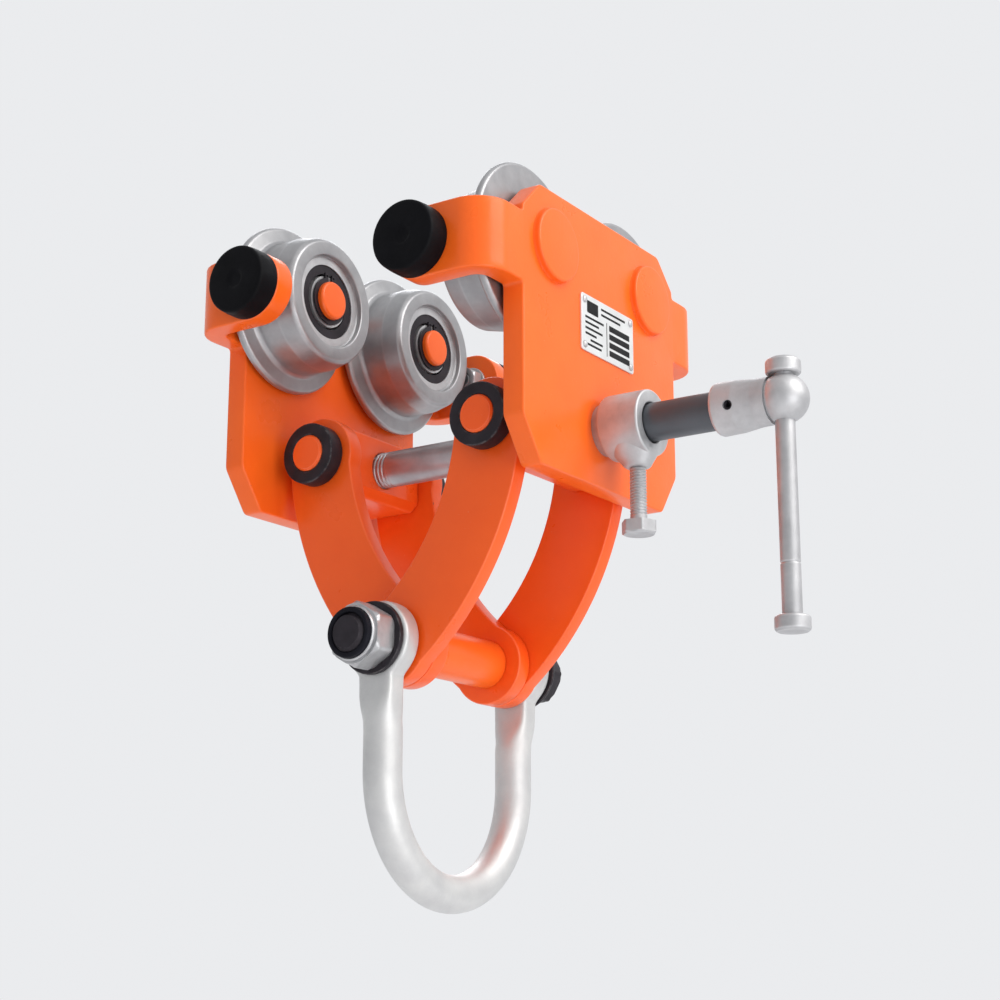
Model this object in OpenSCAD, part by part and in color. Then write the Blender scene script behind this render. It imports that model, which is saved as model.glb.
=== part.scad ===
// Trolley-type beam clamp: two side plates with flanged wheels run on the
// lower flange of an I-beam, a left/right-hand spindle sets the plate gap,
// two pairs of curved arms carry the load bolt and a bow shackle hangs on it.
// Axes: X across the beam (+X to the handle), Y along the beam, Z up.
// Origin: beam web plane, middle of the plates, on the wheel treads.

/* [Side plates] */
// half gap between the two pivot axes, across the beam [mm]
pivot_x = 47.5; // [47.5:0.1:47.5]
// distance from a pivot axis to the inner face of its side plate [mm]
plate_gap = 20; // [18:0.5:24]
// side plate thickness [mm]
plate_t = 10; // [8:0.5:12]
// half width of a side plate along the beam [mm]
plate_w = 62; // [58:0.5:66]
// top edge of the side plate above the treads [mm]
plate_top = 54; // [50:0.5:58]
// bottom edge of the side plate [mm]
plate_bot = -64.5; // [-70:0.5:-60]
// size of the top corner cuts [mm]
top_cut = 13; // [10:0.5:16]
// lower corner cuts along the beam [mm]
low_cut_y = 13; // [10:0.5:16]
// lower corner cuts in height [mm]
low_cut_z = 18; // [12:0.5:22]

/* [Buffer arms] */
// outer face of the bent buffer arms, along the beam [mm]
arm_face_y = 87.5; // [80:0.5:95]
// outer bend radius of the buffer arms [mm]
bend_r = 15; // [12:0.5:18]
// middle height of the buffer arms [mm]
buf_z = 23; // [18:0.5:28]
// height of the buffer arm strip [mm]
buf_h = 30; // [26:0.5:34]
// buffer centre, measured inwards from the pivot axis [mm]
buf_in = 4; // [0:0.5:8]
// rubber buffer diameter [mm]
buf_d = 30; // [26:0.5:34]
// rubber buffer length [mm]
buf_l = 10.5; // [8:0.5:14]

/* [Wheels] */
// half distance between the two wheel axles of a plate [mm]
axle_y = 39; // [38.5:0.5:42]
// wheel tread diameter [mm]
tread_d = 60; // [56:0.5:64]
// wheel flange diameter [mm]
wheel_d = 76; // [70:0.5:76]
// wheel flange thickness [mm]
rim_t = 5; // [4:0.5:6]
// overall wheel width [mm]
wheel_w = 27; // [24:0.5:30]
// diameter of the axle head on the outer face [mm]
head_d = 31; // [28:0.5:34]
// height of the axle head [mm]
head_h = 3; // [2:0.5:4]

/* [Load arms] */
// distance from the load bolt to a pivot axis [mm]
arm_l = 100; // [100:1:100]
// arm thickness [mm]
arm_t = 8; // [7:0.5:8]
// arm width [mm]
arm_w = 33; // [30:0.5:34]
// diameter of the round eyes at both ends of an arm [mm]
eye_d = 35; // [34.5:0.5:37]
// radius of the curved centre line of an arm [mm]
arm_r = 120; // [100:1:140]
// inner face of the inner (left) arms, from the middle [mm]
arm_in = 26.5; // [26:0.5:28]
// gap between an inner arm and an outer arm [mm]
arm_gap = 0.5; // [0.4:0.1:1]
// pivot journal diameter [mm]
jour_d = 16; // [14:0.5:18]
// retaining ring diameter on the journals [mm]
ret_d = 27; // [24:0.5:28]
// retaining ring length [mm]
ret_l = 8; // [6:0.5:9]

/* [Spindle and handle] */
// spindle diameter over the thread [mm]
spin_d = 16; // [14:0.5:18]
// spindle height below the treads [mm]
spin_z = -39.5; // [-39.5:0.1:-39.5]
// height of the trunnion blocks [mm]
block_h = 28; // [24:0.5:30]
// trunnion block, from the pivot axis to its inner face [mm]
block_in = 9.5; // [9:0.5:13]
// lock collar diameter [mm]
lock_d = 28; // [25:0.5:30]
// lock collar length [mm]
lock_l = 19; // [14:0.5:20]
// neck length between plate and lock collar [mm]
lock_neck = 4; // [2:0.5:8]
// lock bolt axis, from the middle [mm]
lock_x = 93; // [90:0.5:96]
// inner end of the handle hub, from the middle [mm]
hub_x = 130.8; // [128:0.1:136]
// middle of the handle ball end, from the middle [mm]
ball_x = 159.6; // [156:0.1:166]
// handle hub diameter at its inner end [mm]
hub_d = 22; // [20.5:0.5:23]
// handle ball diameter [mm]
ball_d = 20.2; // [18:0.1:20.4]
// tommy bar diameter [mm]
tommy_d = 8; // [6:0.5:10]
// tommy bar length over both caps [mm]
tommy_l = 109.5; // [100:0.5:120]

/* [Load bolt and shackle] */
// load bolt diameter [mm]
bolt_d = 16; // [14:0.5:18]
// inner face of the shackle ears, from the middle [mm]
ear_in = 44; // [43.5:0.1:44.5]
// shackle ear thickness [mm]
ear_t = 10.5; // [10:0.5:12]
// shackle ear diameter [mm]
ear_d = 32; // [30:0.5:34]
// shackle rod diameter [mm]
rod_d = 16; // [14:0.5:18]
// half distance between the shackle leg centre lines [mm]
leg_y = 47.6; // [46:0.1:50]
// load bolt axis to the outer bottom of the bow [mm]
bow_l = 107.8; // [100:0.1:115]

/* [Nameplate] */
// nameplate width [mm]
name_w = 43; // [40:0.5:48]
// nameplate height [mm]
name_h = 25; // [22:0.5:28]

/* [Hidden] */
$fn = 64;
// running gap of a pin in its bore, on the diameter
run_gap = 0.1;
// side gap between an arm and its trunnion block or retaining ring
side_gap = 0.3;
// places shared by several pieces
plate_x = pivot_x + plate_gap;
out_x = plate_x + plate_t;
axle_z = tread_d / 2;
pin_z = spin_z - sqrt(arm_l * arm_l - pivot_x * pivot_x);
arm_out_in = arm_in + arm_t + arm_gap;
swing0 = asin(pivot_x / arm_l);
half_arc = asin(arm_l / 2 / arm_r);
buf_x = pivot_x - buf_in;
ear_out = ear_in + ear_t;
// load bolt: washer, nut face, thread end, flange, head face, hexagon
wash_t = 2.5;
nut_end = 68;
bolt_end = 73;
flange_t = 3.5;
flange_r = 17;
head_end = 68.5;
hex_af = 24;
insert_r = 10;
// lock bolt: shank, lower end of the shank and of the head below the spindle axis
lock_bolt_d = 7;
lock_drop = 41;
lock_end = 46.5;
lock_af = 13;
// wheel bearing: bore and outer radius, inside of its outer ring; bore of the axle seat
shaft_r = 8.5;
brg_r = 20;
ring_r = 16.8;
seat_r = 10;
// radius of the spindle's turned-down far end
tail_r = 6;
// colours
orange = [0.93, 0.38, 0.12];
steel = [0.74, 0.75, 0.76];
dark = [0.16, 0.16, 0.17];
rubber = [0.05, 0.05, 0.06];
bearing = [0.62, 0.63, 0.65];

// ---------- helpers ----------

// cylinder lying along +X from x = a to x = b
module rod_x(a, b, r, n = 64) {
    translate([a, 0, 0]) rotate([0, 90, 0]) cylinder(h = b - a, r = r, $fn = n);
}

// cylinder lying along +Y from y = a to y = b
module rod_y(a, b, r, n = 64) {
    translate([0, a, 0]) rotate([-90, 0, 0]) cylinder(h = b - a, r = r, $fn = n);
}

// hexagonal bar along +Y, given across flats, turned about its own axis
module hex_y(a, b, af, turn = 30) {
    translate([0, a, 0]) rotate([-90, 0, 0]) rotate([0, 0, turn])
        cylinder(h = b - a, d = af / cos(30), $fn = 6);
}

// turned body along +X from a list of [x, r] points
module turned_x(pts, n = 64) {
    rotate([90, 0, 90]) rotate_extrude($fn = n)
        polygon([for (p = pts) [p[1], p[0]]]);
}

// ---------- load bolt group ----------

// flanged hexagon bolt, its thread end towards -Y
module load_bolt() {
    flange_y = ear_out + flange_t;
    color(dark) translate([0, 0, pin_z]) {
        rod_y(-bolt_end, flange_y, bolt_d / 2);
        translate([0, ear_out, 0]) rotate([-90, 0, 0]) rotate_extrude()
            polygon([[0, 0], [flange_r - 0.4, 0], [flange_r, 0.5], [flange_r, 1.6],
                [12.6, flange_t], [0, flange_t]]);
        intersection() {
            hex_y(flange_y - 1.5, head_end, hex_af, 0);
            rotate([-90, 0, 0]) translate([0, 0, flange_y - 1.5])
                cylinder(h = head_end - flange_y + 1.5, r1 = 19, r2 = 12.4);
        }
    }
}

// hexagon nut with a rolled collar over the locking insert
module load_nut() {
    color(steel) translate([0, 0, pin_z]) difference() {
        union() {
            intersection() {
                hex_y(-nut_end, -ear_out - wash_t, hex_af);
                rotate([-90, 0, 0]) translate([0, 0, -nut_end])
                    cylinder(h = nut_end - ear_out - wash_t, r1 = 12.6, r2 = 18);
            }
            rod_y(-nut_end - 3.3, -nut_end + 1, 11.2);
        }
        rod_y(-80, -50, bolt_d / 2);
        rod_y(-80, -nut_end + 0.4, insert_r);
    }
}

module nut_insert() {
    color(rubber) translate([0, 0, pin_z]) difference() {
        rod_y(-nut_end - 2.8, -nut_end + 0.4, insert_r);
        rod_y(-75, -60, bolt_d / 2);
    }
}

module load_washer() {
    color(dark) translate([0, 0, pin_z]) difference() {
        rod_y(-ear_out - wash_t, -ear_out, 15);
        rod_y(-80, 80, bolt_d / 2);
    }
}

module spacer_tube() {
    color(orange) translate([0, 0, pin_z]) difference() {
        rod_y(-arm_in + side_gap, arm_in - side_gap, 10.5);
        rod_y(-40, 40, bolt_d / 2);
    }
}

// ---------- shackle ----------

// round flat ear on the load bolt, its stem drawn in to the round leg
module ear_side(s) {
    y0 = s > 0 ? ear_in : -ear_out;
    stem_w = rod_d + 1;
    translate([0, y0 + ear_t, 0]) rotate([90, 0, 0]) linear_extrude(height = ear_t) {
        circle(d = ear_d, $fn = 64);
        translate([-stem_w / 2, -27]) square([stem_w, 27]);
    }
    hull() {
        translate([-stem_w / 2, y0, -27]) cube([stem_w, ear_t, 0.6]);
        translate([0, s * leg_y, -38]) cylinder(h = 0.6, d = rod_d, $fn = 32);
    }
}

module shackle() {
    bow_z = -(bow_l - rod_d / 2 - leg_y);
    color(steel) translate([0, 0, pin_z]) difference() {
        union() {
            for (s = [-1, 1]) {
                ear_side(s);
                translate([0, s * leg_y, bow_z]) cylinder(h = -37.7 - bow_z, d = rod_d, $fn = 48);
            }
            translate([0, 0, bow_z]) rotate([90, 0, 90]) rotate([0, 0, 180])
                rotate_extrude(angle = 180, $fn = 96) translate([leg_y, 0]) circle(d = rod_d, $fn = 32);
        }
        rod_y(-70, 70, (bolt_d + run_gap) / 2);
    }
}

// ---------- load arms ----------

// curved flat arm with round eyes, chord from the load bolt to the pivot;
// drawn in the X-Z plane for the right side
module arm_shape() {
    cx = pivot_x / 2;
    cz = sqrt(arm_l * arm_l - pivot_x * pivot_x) / 2;
    d = sqrt(arm_r * arm_r - arm_l * arm_l / 4);
    ax = cx - d * cos(swing0);
    az = cz + d * sin(swing0);
    far = arm_r + 60;
    difference() {
        union() {
            intersection() {
                difference() {
                    translate([ax, az]) circle(r = arm_r + arm_w / 2, $fn = 180);
                    translate([ax, az]) circle(r = arm_r - arm_w / 2, $fn = 180);
                }
                polygon([[ax, az],
                    [ax + far * cos(-swing0 - half_arc), az + far * sin(-swing0 - half_arc)],
                    [ax + far * cos(-swing0 + half_arc), az + far * sin(-swing0 + half_arc)]]);
            }
            circle(d = eye_d, $fn = 64);
            translate([pivot_x, 2 * cz]) circle(d = eye_d, $fn = 64);
        }
        circle(d = bolt_d + run_gap, $fn = 64);
        translate([pivot_x, 2 * cz]) circle(d = jour_d + run_gap, $fn = 64);
    }
}

module arm_at(y) {
    color(orange) translate([0, y + arm_t, pin_z]) rotate([90, 0, 0])
        linear_extrude(height = arm_t) arm_shape();
}

module right_arm_front() {
    arm_at(-arm_out_in - arm_t);
}

module right_arm_rear() {
    arm_at(arm_out_in);
}

module left_arm_front() {
    mirror([1, 0, 0]) arm_at(-arm_in - arm_t);
}

module left_arm_rear() {
    mirror([1, 0, 0]) arm_at(arm_in);
}

// ---------- side plates ----------

// bent strip that carries a rubber buffer at one end of the plate
module buffer_arm(s) {
    in_r = bend_r - plate_t;
    cy = arm_face_y - bend_r;
    cx = out_x - bend_r;
    z0 = buf_z - buf_h / 2;
    translate([plate_x, s > 0 ? plate_w - 1 : -cy, z0]) cube([plate_t, cy - plate_w + 1, buf_h]);
    translate([cx, s * cy, z0]) rotate([0, 0, s > 0 ? 0 : -90])
        rotate_extrude(angle = 90, $fn = 96) translate([in_r, 0]) square([plate_t, buf_h]);
    translate([buf_x, s > 0 ? arm_face_y - plate_t : -arm_face_y, z0])
        cube([cx - buf_x, plate_t, buf_h]);
    translate([buf_x, s > 0 ? arm_face_y - plate_t : -arm_face_y, buf_z])
        rod_y(0, plate_t, buf_h / 2);
}

module side_plate(hole) {
    difference() {
        union() {
            translate([plate_x, 0, 0]) rotate([90, 0, 90]) linear_extrude(height = plate_t)
                polygon([[-plate_w + top_cut, plate_top], [plate_w - top_cut, plate_top],
                    [plate_w, plate_top - top_cut], [plate_w, plate_bot + low_cut_z],
                    [plate_w - low_cut_y, plate_bot], [-plate_w + low_cut_y, plate_bot],
                    [-plate_w, plate_bot + low_cut_z], [-plate_w, plate_top - top_cut]]);
            buffer_arm(-1);
            buffer_arm(1);
        }
        for (s = [-1, 1]) {
            translate([0, s * axle_y, axle_z]) rod_x(plate_x - 1, out_x + 1, seat_r);
            translate([buf_x, s * (arm_face_y - plate_t / 2), buf_z]) rod_y(-9, 9, 4);
        }
        translate([0, 0, spin_z]) rod_x(plate_x - 1, out_x + 1, hole);
    }
}

module right_plate() {
    color(orange) side_plate(11);
}

module left_plate() {
    color(orange) mirror([1, 0, 0]) side_plate(10.5);
}

// ---------- trunnions ----------

// length of the nut thread inside a block
nut_l = 20;

// block that holds the spindle nut thread, turned to a journal at both ends
module trunnion(half, pin_end) {
    x0 = pivot_x - block_in;
    thread_end = x0 + nut_l;
    translate([0, 0, spin_z]) difference() {
        union() {
            translate([x0, -half, -block_h / 2]) cube([plate_x - x0, 2 * half, block_h]);
            translate([pivot_x, 0, 0]) rod_y(-pin_end, pin_end, jour_d / 2);
        }
        rod_x(x0 - 1, thread_end, (spin_d + run_gap) / 2);
        rod_x(thread_end, plate_x + 1, spin_d / 2 + 1);
    }
}

module right_trunnion() {
    color(orange) trunnion(arm_out_in - side_gap, arm_out_in + arm_t + side_gap + ret_l);
}

module left_trunnion() {
    color(orange) mirror([1, 0, 0]) trunnion(arm_in - side_gap, arm_in + arm_t + side_gap + ret_l);
}

module retainers(y) {
    for (s = [-1, 1]) {
        translate([pivot_x, 0, spin_z]) difference() {
            rotate([0, 0, s > 0 ? 0 : 180]) translate([0, y, 0]) rotate([-90, 0, 0])
                rotate_extrude($fn = 64) polygon([[jour_d / 2, 0], [ret_d / 2, 0],
                    [ret_d / 2, ret_l - 1], [ret_d / 2 - 1, ret_l], [jour_d / 2, ret_l]]);
            translate([0, s * (y + ret_l / 2), ret_d / 2 + 1]) rotate([180, 0, 0])
                cylinder(h = 4.5, d = 4, $fn = 32);
        }
    }
}

module right_retainers() {
    color(dark) retainers(arm_out_in + arm_t + side_gap);
}

module left_retainers() {
    color(dark) mirror([1, 0, 0]) retainers(arm_in + arm_t + side_gap);
}

// ---------- wheels and axles ----------

// wheel side faces, measured from the plate inner face
wheel_out = plate_x - 2;
wheel_in = wheel_out - wheel_w;
brg_in = wheel_in + 2.5;
brg_out = brg_in + 12;
// bottom radius of the clip groove in an axle
clip_r = shaft_r - 0.5;

// pin with a raised head on the plate, a spacer collar and a clip groove
module axle(s) {
    translate([0, s * axle_y, axle_z])
        turned_x([[wheel_in - 1.5, 0], [wheel_in - 1.5, shaft_r - 0.8], [wheel_in - 0.7, shaft_r],
            [brg_in - 1.2, shaft_r], [brg_in - 1.2, clip_r], [brg_in - 0.1, clip_r],
            [brg_in - 0.1, shaft_r], [brg_out, shaft_r], [brg_out, seat_r + 2],
            [plate_x, seat_r + 2], [plate_x, seat_r], [out_x, seat_r],
            [out_x, head_d / 2], [out_x + head_h - 1, head_d / 2],
            [out_x + head_h, head_d / 2 - 1], [out_x + head_h, 0]]);
}

module axle_clips() {
    for (s = [-1, 1]) {
        translate([brg_in - 1.15, s * axle_y, axle_z]) rotate([90, 0, 90]) linear_extrude(height = 1)
            difference() {
                union() {
                    circle(r = 10.6, $fn = 64);
                    translate([-3.4, 9]) square([6.8, 3.6]);
                }
                circle(r = clip_r, $fn = 64);
                translate([-1.2, 0]) square([2.4, 15]);
                for (t = [-1, 1]) {
                    translate([t * 2.3, 11.2]) circle(r = 0.55, $fn = 24);
                }
            }
    }
}

module inner_rings() {
    for (s = [-1, 1]) {
        translate([0, s * axle_y, axle_z])
            turned_x([[brg_in, shaft_r], [brg_in, 11.6], [brg_in + 3, 12.1], [brg_in + 4.5, 11.2],
                [brg_in + 7.5, 11.2], [brg_in + 9, 12.1], [brg_out, 11.6],
                [brg_out, shaft_r]]);
    }
}

module wheel(s) {
    tr = tread_d / 2;
    wr = wheel_d / 2;
    translate([0, s * axle_y, axle_z])
        turned_x([[wheel_in, brg_r + 0.9], [wheel_in, tr - 3.2], [wheel_in + 1.5, tr - 1.7],
            [wheel_in + 9, tr], [wheel_out - rim_t - 1.5, tr], [wheel_out - rim_t, tr + 1.5],
            [wheel_out - rim_t + 1, wr - 1], [wheel_out - rim_t + 2, wr], [wheel_out - 1, wr],
            [wheel_out, wr - 1], [wheel_out, 22], [wheel_out - 3, 20], [wheel_out - 3, 16],
            [wheel_out - 1.2, 15.4], [wheel_out - 1.2, 13], [brg_out, 13], [brg_out, brg_r],
            [brg_in - 0.2, brg_r], [brg_in - 0.2, brg_r + 0.9]], 96);
}

// bearing outer ring, turns with the wheel
module outer_ring(s) {
    translate([0, s * axle_y, axle_z])
        turned_x([[brg_in, brg_r], [brg_in, ring_r], [brg_in + 4, ring_r],
            [brg_in + 4.7, ring_r + 0.8], [brg_in + 7.3, ring_r + 0.8], [brg_in + 8, ring_r],
            [brg_out, ring_r], [brg_out, brg_r]]);
}

// pressed bearing shield held in the outer ring
module seal(s) {
    translate([0, s * axle_y, axle_z])
        turned_x([[brg_in + 0.6, 12.6], [brg_in + 0.6, ring_r], [brg_in + 1.4, ring_r],
            [brg_in + 1.4, 13.4], [brg_in + 2.2, 12.6]]);
}

module right_axle_front() {
    color(orange) axle(-1);
}

module right_axle_rear() {
    color(orange) axle(1);
}

module left_axle_front() {
    color(orange) mirror([1, 0, 0]) axle(-1);
}

module left_axle_rear() {
    color(orange) mirror([1, 0, 0]) axle(1);
}

module right_axle_clips() {
    color(dark) axle_clips();
}

module left_axle_clips() {
    color(dark) mirror([1, 0, 0]) axle_clips();
}

module right_inner_rings() {
    color(bearing) inner_rings();
}

module left_inner_rings() {
    color(bearing) mirror([1, 0, 0]) inner_rings();
}

module right_wheel_front() {
    color(steel) wheel(-1);
}

module right_wheel_rear() {
    color(steel) wheel(1);
}

module left_wheel_front() {
    color(steel) mirror([1, 0, 0]) wheel(-1);
}

module left_wheel_rear() {
    color(steel) mirror([1, 0, 0]) wheel(1);
}

module right_ring_front() {
    color(bearing) outer_ring(-1);
}

module right_ring_rear() {
    color(bearing) outer_ring(1);
}

module left_ring_front() {
    color(bearing) mirror([1, 0, 0]) outer_ring(-1);
}

module left_ring_rear() {
    color(bearing) mirror([1, 0, 0]) outer_ring(1);
}

module right_seal_front() {
    color(dark) seal(-1);
}

module right_seal_rear() {
    color(dark) seal(1);
}

module left_seal_front() {
    color(dark) mirror([1, 0, 0]) seal(-1);
}

module left_seal_rear() {
    color(dark) mirror([1, 0, 0]) seal(1);
}

// ---------- rubber buffers ----------

module buffer(s) {
    y0 = arm_face_y;
    translate([buf_x, 0, buf_z]) rotate([0, 0, s > 0 ? 0 : 180]) translate([0, y0, 0])
        rotate([-90, 0, 0]) rotate_extrude($fn = 64)
            polygon([[0, -plate_t - 8], [3.2, -plate_t - 8], [4, -plate_t - 7.2], [4, 0],
                [buf_d / 2, 0], [buf_d / 2, buf_l - 1.5], [buf_d / 2 - 0.5, buf_l - 0.5],
                [buf_d / 2 - 1.5, buf_l], [0, buf_l]]);
}

module buffer_nuts() {
    for (s = [-1, 1]) {
        translate([buf_x, 0, buf_z]) rotate([0, 0, s > 0 ? 0 : 180])
            translate([0, arm_face_y - plate_t, 0]) difference() {
                union() {
                    rod_y(-1.5, 0, 8);
                    hex_y(-8, -1.5, 13);
                }
                rod_y(-20, 5, 4, 48);
            }
    }
}

module right_buffer_front() {
    color(rubber) buffer(-1);
}

module right_buffer_rear() {
    color(rubber) buffer(1);
}

module left_buffer_front() {
    color(rubber) mirror([1, 0, 0]) buffer(-1);
}

module left_buffer_rear() {
    color(rubber) mirror([1, 0, 0]) buffer(1);
}

module right_buffer_nuts() {
    color(steel) buffer_nuts();
}

module left_buffer_nuts() {
    color(steel) mirror([1, 0, 0]) buffer_nuts();
}

// ---------- nameplate ----------

// middle of the plate, its thickness, and how far the rivets are from its edges
name_y = 2.5;
name_z = 4;
name_t = 0.8;
rivet_in = 2.6;

module nameplate() {
    color(steel) translate([out_x, name_y, name_z]) rotate([90, 0, 90]) difference() {
        linear_extrude(height = name_t) offset(r = 1.5, $fn = 32)
            square([name_w - 3, name_h - 3], center = true);
        for (a = [-1, 1], b = [-1, 1]) {
            translate([a * (name_w / 2 - rivet_in), b * (name_h / 2 - rivet_in), -1])
                cylinder(h = 3, d = 1.8, $fn = 32);
        }
    }
}

module nameplate_rivets() {
    color(steel) translate([out_x, name_y, name_z]) rotate([90, 0, 90])
        for (a = [-1, 1], b = [-1, 1]) {
            translate([a * (name_w / 2 - rivet_in), b * (name_h / 2 - rivet_in), 0])
                rotate_extrude($fn = 32) polygon([[0, 0], [0.9, 0], [0.9, name_t], [1.6, name_t],
                    [1.4, 1.3], [0.8, 1.6], [0, 1.7]]);
        }
}

// ---------- lock collar and bolt ----------

lock_x0 = out_x + lock_neck;
lock_x1 = lock_x0 + lock_l;

// collar on the plate with a tapered boss below for the lock bolt
module lock_collar() {
    color(steel) translate([0, 0, spin_z]) difference() {
        union() {
            turned_x([[plate_x, 8.5], [plate_x, 11], [lock_x0, 11], [lock_x0, lock_d / 2 - 1],
                [lock_x0 + 1, lock_d / 2], [lock_x1 - 1, lock_d / 2], [lock_x1, lock_d / 2 - 1],
                [lock_x1, 8.5]]);
            translate([lock_x, 0, -lock_d / 2 - 4.5]) difference() {
                cylinder(h = 7, r1 = 4.6, r2 = 7.5);
                translate([0, 0, lock_d / 2 + 4.5]) rod_x(-10, 10, 12);
            }
        }
        translate([lock_x, 0, -lock_d / 2 - 6]) cylinder(h = lock_d / 2, d = lock_bolt_d + run_gap);
    }
}

module lock_bolt() {
    color(steel) translate([lock_x, 0, spin_z]) {
        translate([0, 0, -lock_drop]) cylinder(h = lock_drop - spin_d / 2 - 0.4, d = lock_bolt_d);
        translate([0, 0, -lock_end]) intersection() {
            cylinder(h = lock_end - lock_drop + 0.1, d = lock_af / cos(30), $fn = 6);
            cylinder(h = lock_end - lock_drop + 0.1, r1 = lock_af / 2 + 0.4, r2 = 11);
        }
    }
}

// ---------- spindle and handle ----------

// cross pin place and tilt; stub of the spindle that is fixed in the hub
pin_x = hub_x + 9;
pin_tilt = 10;
core_end = hub_x + 16;
core_r = 6;

// cross bore through the hub and the spindle end
module pin_bore() {
    translate([pin_x, 0, 0]) rotate([pin_tilt, 0, 0]) rod_y(-20, 20, 2, 48);
}

module stop_washer() {
    color(steel) translate([0, 0, spin_z])
        turned_x([[-102.9, tail_r + run_gap / 2], [-102.9, 11.5], [-102.4, 12], [-100.4, 12],
            [-99.9, 11.5], [-99.9, tail_r + run_gap / 2]]);
}

// threaded rod, stepped at the far end for the stop washer and its clip
module spindle() {
    color(dark) translate([0, 0, spin_z]) difference() {
        turned_x([[-106.5, 0], [-106.5, tail_r - 0.8], [-105.7, tail_r], [-104.3, tail_r],
            [-104.3, tail_r - 0.4], [-103.1, tail_r - 0.4], [-103.1, tail_r], [-99.6, tail_r],
            [-99.6, spin_d / 2 - 1], [-98.6, spin_d / 2],
            [hub_x + 1, spin_d / 2], [hub_x + 1, core_r], [core_end, core_r], [core_end, 0]]);
        pin_bore();
    }
}

module spindle_clip() {
    color(dark) translate([-104.25, 0, spin_z]) rotate([90, 0, 90]) linear_extrude(height = 1)
        difference() {
            union() {
                circle(r = 8, $fn = 64);
                translate([-2.6, 6.8]) square([5.2, 3]);
            }
            circle(r = tail_r - 0.4, $fn = 64);
            translate([-0.9, 0]) square([1.8, 12]);
        }
}

// turned hub with a ball end, cross-bored for the tommy bar
module handle_hub() {
    r = hub_d / 2;
    waist = ball_d / 2 - 0.4;
    color(steel) translate([0, 0, spin_z]) difference() {
        union() {
            turned_x([[hub_x, 0], [hub_x, r - 1.5], [hub_x + 0.5, r - 0.5], [hub_x + 1.5, r],
                [hub_x + 10, r - 0.2], [hub_x + 18, waist + 0.1], [ball_x - 5, waist],
                [ball_x - 5, 0]]);
            translate([ball_x, 0, 0]) sphere(d = ball_d, $fn = 64);
        }
        rod_x(hub_x - 1, hub_x + 1, spin_d / 2);
        rod_x(hub_x + 0.9, core_end, core_r);
        translate([ball_x, 0, -20]) cylinder(h = 40, d = tommy_d + run_gap);
        pin_bore();
    }
}

// slotted spring pin, 1 mm below the hub surface at both ends
module hub_pin() {
    color(dark) translate([pin_x, 0, spin_z]) rotate([pin_tilt, 0, 0]) difference() {
        rod_y(-hub_d / 2 + 1, hub_d / 2 - 1, 2, 48);
        rod_y(-20, 20, 1.1, 32);
        translate([-0.4, -20, 0]) cube([0.8, 40, 4]);
    }
}

// end caps of the tommy bar, and how high the bar stands over the spindle axis
cap_h = 6.4;
cap_r = 7.1;
tommy_top = 9.9 + cap_h;
tommy_bot = tommy_top - tommy_l;

module tommy_bar() {
    color(steel) translate([ball_x, 0, spin_z])
        translate([0, 0, tommy_bot + 2]) cylinder(h = tommy_l - 4, d = tommy_d);
}

module tommy_cap(z0, up) {
    translate([ball_x, 0, spin_z + z0]) mirror([0, 0, up ? 0 : 1]) rotate_extrude($fn = 64)
        polygon([[tommy_d / 2, 0], [cap_r - 0.6, 0], [cap_r, 0.6], [cap_r, cap_h - 1],
            [cap_r - 0.9, cap_h], [0, cap_h], [0, cap_h - 2], [tommy_d / 2, cap_h - 2]]);
}

module tommy_cap_top() {
    color(steel) tommy_cap(tommy_top - cap_h, true);
}

module tommy_cap_bottom() {
    color(steel) tommy_cap(tommy_bot + cap_h, false);
}

// ---------- drawing ----------

load_bolt();
load_nut();
nut_insert();
load_washer();
spacer_tube();
shackle();
right_arm_front();
right_arm_rear();
left_arm_front();
left_arm_rear();
right_plate();
right_trunnion();
right_retainers();
right_axle_front();
right_axle_rear();
right_axle_clips();
right_inner_rings();
right_buffer_front();
right_buffer_rear();
right_buffer_nuts();
nameplate();
nameplate_rivets();
lock_collar();
lock_bolt();
left_plate();
left_trunnion();
left_retainers();
left_axle_front();
left_axle_rear();
left_axle_clips();
left_inner_rings();
left_buffer_front();
left_buffer_rear();
left_buffer_nuts();
right_wheel_front();
right_wheel_rear();
left_wheel_front();
left_wheel_rear();
right_ring_front();
right_ring_rear();
left_ring_front();
left_ring_rear();
right_seal_front();
right_seal_rear();
left_seal_front();
left_seal_rear();
stop_washer();
spindle();
spindle_clip();
handle_hub();
hub_pin();
tommy_bar();
tommy_cap_top();
tommy_cap_bottom();
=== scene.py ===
import bpy
import numpy as np
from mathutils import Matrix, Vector
from mathutils.geometry import delaunay_2d_cdt


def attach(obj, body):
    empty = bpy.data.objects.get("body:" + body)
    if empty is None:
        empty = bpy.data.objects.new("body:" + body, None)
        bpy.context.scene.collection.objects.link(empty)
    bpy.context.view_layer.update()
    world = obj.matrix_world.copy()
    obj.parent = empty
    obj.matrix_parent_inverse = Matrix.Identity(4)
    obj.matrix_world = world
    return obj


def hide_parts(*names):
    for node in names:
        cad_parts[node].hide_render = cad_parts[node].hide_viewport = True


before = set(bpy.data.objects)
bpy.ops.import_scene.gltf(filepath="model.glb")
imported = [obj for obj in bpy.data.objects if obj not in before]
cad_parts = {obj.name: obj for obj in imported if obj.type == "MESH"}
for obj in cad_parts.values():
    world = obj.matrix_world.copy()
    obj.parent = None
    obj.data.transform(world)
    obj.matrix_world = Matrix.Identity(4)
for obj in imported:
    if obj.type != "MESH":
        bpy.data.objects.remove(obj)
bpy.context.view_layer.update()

# Wheeled beam clamp. Lengths are in millimetres until a piece is put into the scene.
# X runs across the beam to the handle, Y along the beam, Z up; the origin is on the wheel treads.

MM = 0.001
TAU = 2 * np.pi

# ---------- sizes shared with the CAD frame ----------

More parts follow.
